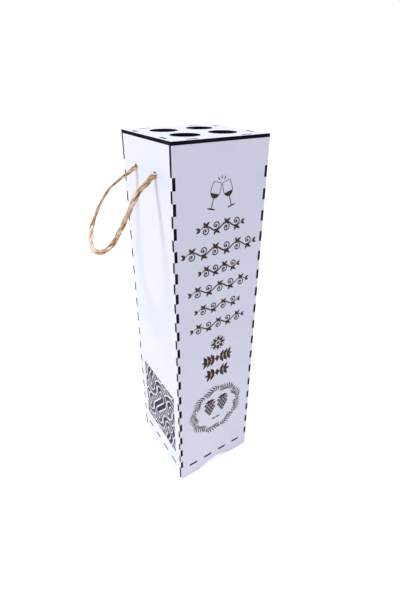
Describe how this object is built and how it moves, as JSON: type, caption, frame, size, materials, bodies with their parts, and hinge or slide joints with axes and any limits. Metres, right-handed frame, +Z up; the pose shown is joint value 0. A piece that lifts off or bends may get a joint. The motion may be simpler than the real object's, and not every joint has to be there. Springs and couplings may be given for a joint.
{
  "type": "wooden wine box",
  "caption": "Tall finger-jointed wooden gift box for a bottle, with a lift-off lid and a rope carrying loop.",
  "frame": {"origin": "under the middle of the box, on the surface that its feet stand on", "axes": "+Z up, -Y out of the engraved front wall, -X out of the wall with the rope loop"},
  "size_m": [0.1516, 0.096, 0.387],
  "materials": {
    "board": "white-faced fibreboard, laser cut, with burnt dark brown edges",
    "rope": "twisted natural jute"
  },
  "bodies": {
    "box": {"front_panel": "board", "back_panel": "board", "left_panel": "board", "right_panel": "board", "bottom_plate": "board", "rope_end_front": "rope", "rope_end_rear": "rope"},
    "lid": {"lid_plate": "board", "lid_collar_front": "board", "lid_collar_back": "board", "lid_collar_left": "board", "lid_collar_right": "board"},
    "handle": {"rope_loop": "rope"}
  },
  "joints": [
    {"name": "lid_lift", "type": "slide", "parent": "box", "child": "lid", "axis": [0, 0, 1], "range_m": [0, 0.06]},
    {"name": "handle_swing", "type": "hinge", "parent": "box", "child": "handle", "pos_m": [-0.0518, 0, 0.3575], "axis": [0, 1, 0], "range_deg": [0, 95]}
  ]
}
